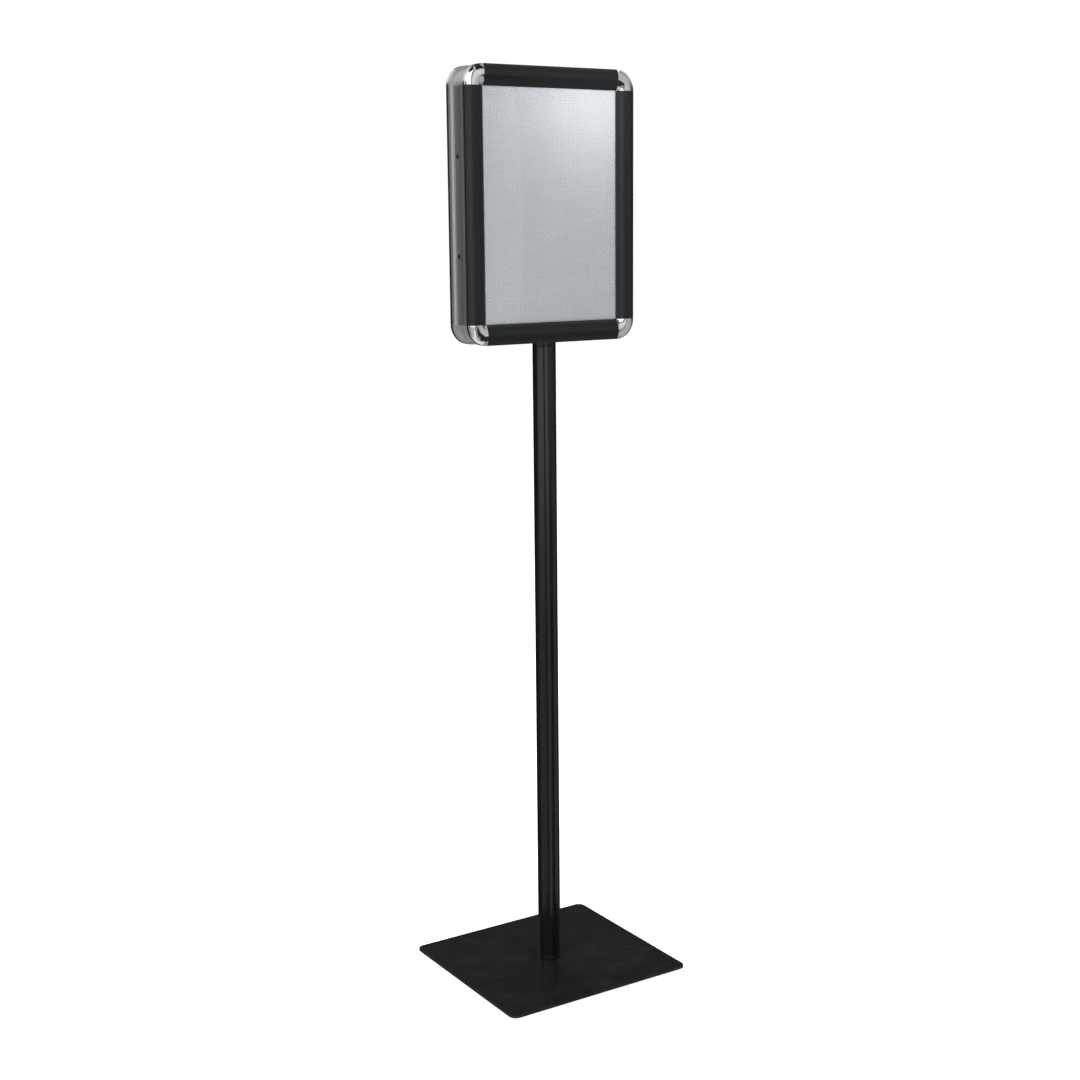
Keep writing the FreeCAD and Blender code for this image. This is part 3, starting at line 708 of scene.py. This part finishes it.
def make_joiners():
    outline = mirrored([(CHANNEL_RECESS, CHANNEL_HALF), (0, CHANNEL_HALF), (0, FLANGE_DEPTH),
                        (CHAMBER_OUTER, FLANGE_DEPTH), (CHAMBER_OUTER, FACE_DEPTH),
                        (RAIL_WIDTH, FACE_DEPTH)])
    high = RAIL_WIDTH - CHAMBER_OUTER - KEY_PLAY
    low = high - KEY_THICKNESS
    half = CHAMBER_DEPTH - KEY_PLAY
    for corner in CORNERS:
        node = f"corner_joiner_{corner}"
        place = corner_place(corner)
        joiner = quarter_turned(f"{node}_visual", outline, place)
        for first, second in (((-KEY_REACH, low), (KEY_ROOT, high)),
                              ((low, -KEY_REACH), (high, KEY_ROOT))):
            arm = slab("tool", (first[0], -half, first[1]), (second[0], half, second[1]), place)
            combined(joiner, arm, "UNION")
        hole = peg_bar(PEG_RADIUS + PEG_PLAY, CAP_LIP_DEPTH, -CAP_LIP_DEPTH, place)
        combined(joiner, hole, "DIFFERENCE")
        finished(joiner, node, ROOT, joiner_finish, bevel=0.2)


def cap_outline():
    under = CROWN_RADIUS - CAP_WALL
    tip = math.degrees(math.asin((RAIL_LIP_DEPTH - CROWN_DEPTH) / under))
    side = math.degrees(math.acos((CAP_WALL - CROWN_INSET) / under))
    return ([(0, CAP_LIP_DEPTH)] + arc((EDGE_RADIUS, EDGE_DEPTH), EDGE_RADIUS, 180, EDGE_ANGLE, 10)
            + arc(CROWN, CROWN_RADIUS, EDGE_ANGLE, CROWN_END, 40)[1:]
            + [(RAIL_WIDTH, RAIL_LIP_DEPTH)] + arc(CROWN, under, tip, side, 20)
            + [(CAP_WALL, CAP_LIP_DEPTH)])


def make_caps():
    outline = cap_outline()
    for face in FACES:
        for corner in CORNERS:
            node = f"{face}_corner_cap_{corner}"
            place = corner_place(corner, face)
            cap = quarter_turned(f"{node}_visual", outline, place)
            peg = peg_bar(PEG_RADIUS, CROWN_DEPTH + CROWN_RADIUS - CAP_WALL, PEG_END, place)
            combined(cap, peg, "UNION")
            finished(cap, node, ROOT, chrome_finish, bevel=0.25)


def make_sheets():
    """Backing panels and covers, between the corners of their CAD boxes."""
    for face in FACES:
        for name, slot, finish, bevel in (
                ("backing_panel", "silver_panel", panel_finish, 0.3),
                ("cover_sheet", "clear_cover", cover_finish, 0.12)):
            node = f"{face}_{name}"
            low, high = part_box(node)
            sheet = slab(f"{node}_visual", low / MM, high / MM, Matrix.Identity(4))
            finished(sheet, node, ROOT, finish, bevel)


def spring_outline():
    crest = FACE_DEPTH + 2 * SPRING_BEND_RADIUS
    bend = (SPRING_BEND, FACE_DEPTH + SPRING_BEND_RADIUS)
    return ([(SPRING_FOOT, FACE_DEPTH)] + arc(bend, SPRING_BEND_RADIUS, -90, 90, 20)
            + [(SPRING_FOOT, crest + SPRING_RISE), (SPRING_FOOT, crest + SPRING_RISE - SPRING_GAUGE)]
            + arc(bend, SPRING_BEND_RADIUS - SPRING_GAUGE, 90, -90, 20)
            + [(SPRING_FOOT, FACE_DEPTH + SPRING_GAUGE)])


def joined(name, pieces):
    """Several pieces as one, each moved to its place, in millimetres."""
    build = bmesh.new()
    for piece in pieces:
        piece.data.transform(remembered_place(piece))
        build.from_mesh(piece.data)
        bpy.data.objects.remove(piece)
    mesh = bpy.data.meshes.new(name)
    build.to_mesh(mesh)
    build.free()
    return linked(bpy.data.objects.new(name, mesh), Matrix.Identity(4))


def make_springs():
    outline = spring_outline()
    for face in FACES:
        leaves = []
        for side in SIDES:
            from_middle = run_length(side) / 2 - SPRING_FROM_END
            for shift in (-from_middle, from_middle):
                place = side_place(side, face) @ Matrix.Translation((shift, 0, 0))
                leaves.append(extruded("leaf", [outline], SPRING_LENGTH, place))
        node = f"{face}_leaf_springs"
        springs = joined(f"{node}_visual", leaves)
        finished(springs, node, ROOT, spring_finish, bevel=0.08)


# ---------------------------------------------------------------- pole and base

def rounded(radius, low, high, edge, bore=0.0):
    """A lathe outline of a disc or ring whose outer edges are rounded."""
    return ([(bore, low)] + arc((radius - edge, low + edge), edge, -90, 0, 5)
            + arc((radius - edge, high - edge), edge, 0, 90, 5) + [(bore, high)])


def pole_piece(node, outline):
    piece = lathed(f"{node}_visual", outline, Matrix.Identity(4), POLE_STEPS)
    finished(piece, node, ROOT, pole_finish)


def heights(node):
    """Bottom and top of a CAD node, in millimetres."""
    return [corner.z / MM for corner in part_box(node)]


def flange_edges(radius, bottom):
    """The two rounded edges of a plug's flange."""
    reach = radius - PLUG_EDGE
    return (arc((reach, bottom + PLUG_EDGE), PLUG_EDGE, -90, 0, 5)
            + arc((reach, bottom + PLUG_FLANGE - PLUG_EDGE), PLUG_EDGE, 0, 90, 5))


def make_pole():
    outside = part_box("pole_tube")[1].x / MM
    inside = outside - TUBE_WALL
    stem = inside - PLUG_PLAY
    pole_piece("pole_tube", rounded(outside, *heights("pole_tube"), TUBE_EDGE, inside))
    low, high = heights("pole_base_plug")
    pole_piece("pole_base_plug",
               [(THREAD_RADIUS, low)] + flange_edges(outside, low)
               + [(stem, low + PLUG_FLANGE), (stem, high - PLUG_CHAMFER),
                  (stem - PLUG_CHAMFER, high), (THREAD_RADIUS, high)])
    low, high = heights("pole_top_plug")
    seat = high - SPIGOT_HEIGHT
    flange = seat - PLUG_FLANGE
    thread_end = flange - THREAD_DEPTH
    pole_piece("pole_top_plug",
               [(THREAD_RADIUS, thread_end), (0, thread_end), (0, low),
                (stem - PLUG_CHAMFER, low), (stem, low + PLUG_CHAMFER), (stem, flange)]
               + flange_edges(outside, flange)
               + [(SPIGOT_RADIUS, seat), (SPIGOT_RADIUS, high - SPIGOT_CHAMFER),
                  (SPIGOT_RADIUS - SPIGOT_CHAMFER, high), (THREAD_RADIUS, high)])


def make_pads():
    low, high = (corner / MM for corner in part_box("base_pads"))
    outline = rounded(PAD_RADIUS, low.z, high.z, PAD_EDGE)
    pads = []
    for x in (low.x + PAD_RADIUS, high.x - PAD_RADIUS):
        for y in (low.y + PAD_RADIUS, high.y - PAD_RADIUS):
            pads.append(lathed("pad", outline, Matrix.Translation((x, y, 0)), 64))
    finished(joined("base_pads_visual", pads), "base_pads", ROOT, rubber_finish)


def keep_node(node, material, bevel):
    """A CAD node whose shape is right: broken edges and a better material."""
    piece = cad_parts[node]
    welded = piece.modifiers.new("shared corners", "WELD")
    welded.merge_threshold = WELD_DISTANCE
    break_edges(piece, bevel, KEPT_SHARP_ANGLE)
    for own_slot in piece.material_slots:
        own_slot.material = material
    if not piece.material_slots:
        piece.data.materials.append(material)


make_rails()
make_profiles()
make_joiners()
make_caps()
make_sheets()
make_springs()
make_pole()
make_pads()
keep_node("base_plate", plate_finish, 0.1)
keep_node("base_bolt", bolt_finish, 0.15)
keep_node("head_bolt", bolt_finish, 0.15)
keep_node("head_bolt_washer", bolt_finish, 0.15)


# ---------------------------------------------------------------- camera

CAMERA_PLACE = (-1.12992, -1.75512, 0.95999)
CAMERA_YAW = 32.571      # right of straight ahead, in degrees
CAMERA_PITCH = 10.701    # below the horizon
CAMERA_ROLL = -0.552
CAMERA_SENSOR = 36       # millimetres
CAMERA_LENS = 56.07


def make_camera():
    yaw, pitch, roll = map(math.radians, (CAMERA_YAW, CAMERA_PITCH, CAMERA_ROLL))
    forward = Vector((math.sin(yaw) * math.cos(pitch), math.cos(yaw) * math.cos(pitch),
                      -math.sin(pitch)))
    right = Vector((math.cos(yaw), -math.sin(yaw), 0))
    up = right.cross(forward)
    across = right * math.cos(roll) + up * math.sin(roll)
    above = up * math.cos(roll) - right * math.sin(roll)
    data = bpy.data.cameras.new("camera")
    data.sensor_width = CAMERA_SENSOR
    data.lens = CAMERA_LENS
    data.clip_start = 0.05
    data.clip_end = 60
    camera = bpy.data.objects.new("camera", data)
    place = Matrix((across, above, -forward)).transposed().to_4x4()
    place.translation = CAMERA_PLACE
    camera.matrix_world = place
    bpy.context.scene.collection.objects.link(camera)
    bpy.context.scene.camera = camera


make_camera()


# ---------------------------------------------------------------- floor, light and surroundings

def make_floor():
    """Pale paper that glows a little, so that it stays near white under soft light."""
    half = 6.0
    mesh = bpy.data.meshes.new("floor")
    mesh.from_pydata([(-half, -half, 0), (half, -half, 0), (half, half, 0), (-half, half, 0)], [],
                     [(0, 1, 2, 3)])
    floor = bpy.data.objects.new("floor", mesh)
    bpy.context.scene.collection.objects.link(floor)
    material, n = new_material("floor_paper")
    pulp = n.noise(n.local(), 40, 4)
    paint = n.add("ShaderNodeBsdfDiffuse",
                  {"Color": n.mix(pulp, grey(0.90), grey(0.93))}).outputs[0]
    glow = n.add("ShaderNodeEmission", {"Color": grey(1.0), "Strength": 0.80}).outputs[0]
    close(n, n.add("ShaderNodeAddShader", {0: paint, 1: glow}).outputs[0])
    mesh.materials.append(material)
    floor.visible_glossy = False


# Studio surroundings seen by the finishes, painted in this order:
# colour, then from and to azimuth (0 in front of the sign, 90 on its right), from and to
# elevation, and the softness of the borders, all in degrees
PATCHES = [
    ((0.42, 0.42, 0.42), -112, 60, -45, 50, 10),
    ((1.34, 1.47, 1.60), -100, 4, -5, 46, 6),
    ((0.66, 0.66, 0.66), 6, 34, 0, 60, 6),
    ((0.46, 0.46, 0.46), 34, 64, -3, 56, 8),
    ((0.50, 0.50, 0.50), 72, 128, 14, 50, 8),
    ((0.40, 0.40, 0.41), 46, 82, -40, -5, 7),
    ((0.02, 0.02, 0.02), 13, 38, -50, -4, 4),
    ((0.30, 0.30, 0.30), -180, 180, -90, -44, 10),
    ((0.72, 0.72, 0.72), -150, 30, -90, -38, 6),
    ((1.00, 1.00, 1.00), -9, 0, -38, -12, 3),
    ((0.015, 0.015, 0.015), -180, -146, -30, 9, 5),
    ((0.015, 0.015, 0.015), 158, 180, -30, 9, 5),
    ((0.74, 0.74, 0.74), -180, -112, 15, 66, 7),
    ((0.70, 0.70, 0.70), 166, 180, 15, 66, 6),
    ((0.03, 0.03, 0.03), -110, 50, 58, 80, 4),
    ((0.02, 0.02, 0.02), -22, 2, 38, 60, 3),
    ((0.02, 0.02, 0.02), 12, 38, 31, 60, 3),
    ((1.40, 1.40, 1.40), 60, 92, 46, 66, 4),
    ((0.03, 0.03, 0.03), -43, -30, -60, 12, 2),
    ((0.05, 0.05, 0.05), 3, 8, -30, 40, 1.5),
]
SURROUND_BASE = (0.07, 0.07, 0.07)


def make_world():
    """The painted surroundings, with a plain pale backdrop where nothing is in view."""
    world = bpy.data.worlds.new("studio")
    bpy.context.scene.world = world
    world.use_nodes = True
    n = Nodes(world.node_tree)
    place = n.add("ShaderNodeTexCoord").outputs["Generated"]
    x, y, z = n.add("ShaderNodeSeparateXYZ", {0: place}).outputs
    degrees = 180 / math.pi
    around = n.math("MULTIPLY", n.math("ARCTAN2", x, n.math("MULTIPLY", y, -1.0)), degrees)
    above = n.math("MULTIPLY", n.math("ARCSINE", z), degrees)
    tone = (*SURROUND_BASE, 1)
    for colour, left, right, low, high, soft in PATCHES:
        mask = 1.0
        for axis, start, end, limit in ((around, left, right, 180), (above, low, high, 90)):
            if start > -limit:
                mask = n.math("MULTIPLY", mask, n.remap(axis, start - soft, start + soft))
            if end < limit:
                mask = n.math("MULTIPLY", mask, n.remap(axis, end - soft, end + soft, 1.0, 0.0))
        tone = n.mix(mask, tone, (*colour, 1))
    surround = n.add("ShaderNodeBackground", {"Color": tone, "Strength": 1.0}).outputs[0]
    backdrop = n.add("ShaderNodeBackground", {"Color": grey(1.0), "Strength": 1.05}).outputs[0]
    seen = n.add("ShaderNodeLightPath").outputs["Is Camera Ray"]
    final = n.add("ShaderNodeMixShader", {0: seen, 1: surround, 2: backdrop}).outputs[0]
    out = n.add("ShaderNodeOutputWorld")
    n.tree.links.new(final, out.inputs["Surface"])


def softbox(name, place, target, width, height, power, spread=180.0, colour=(1, 1, 1)):
    """A light at a place, aimed at a target, with its size in metres and its power in watts. The
    finishes don't mirror it: what they mirror is the painted surroundings."""
    data = bpy.data.lights.new(name, "AREA")
    data.spread = math.radians(spread)
    data.color = colour
    data.shape = "RECTANGLE"
    data.size = width
    data.size_y = height
    data.energy = power
    light = bpy.data.objects.new(name, data)
    light.location = place
    light.rotation_euler = (Vector(target) - Vector(place)).to_track_quat("-Z", "Y").to_euler()
    bpy.context.scene.collection.objects.link(light)
    light.visible_camera = False
    light.visible_glossy = False


make_floor()
make_world()
softbox("front", (0.4, -2.6, 1.7), (0, 0, 0.9), 1.6, 1.6, 28.0)
softbox("top", (0, 0, 3.0), (0, 0, 0), 3.0, 3.0, 30.0)
softbox("back", (0.3, 2.6, 1.7), (0, 0, 0.9), 1.6, 1.6, 28.0)
softbox("glint", (0.075, -0.17, 1.115), (0.07, 0, 1.11), 0.13, 0.06, 0.118, 108.0,
        (1.0, 0.97, 0.96))
bpy.context.scene.view_settings.view_transform = "Standard"
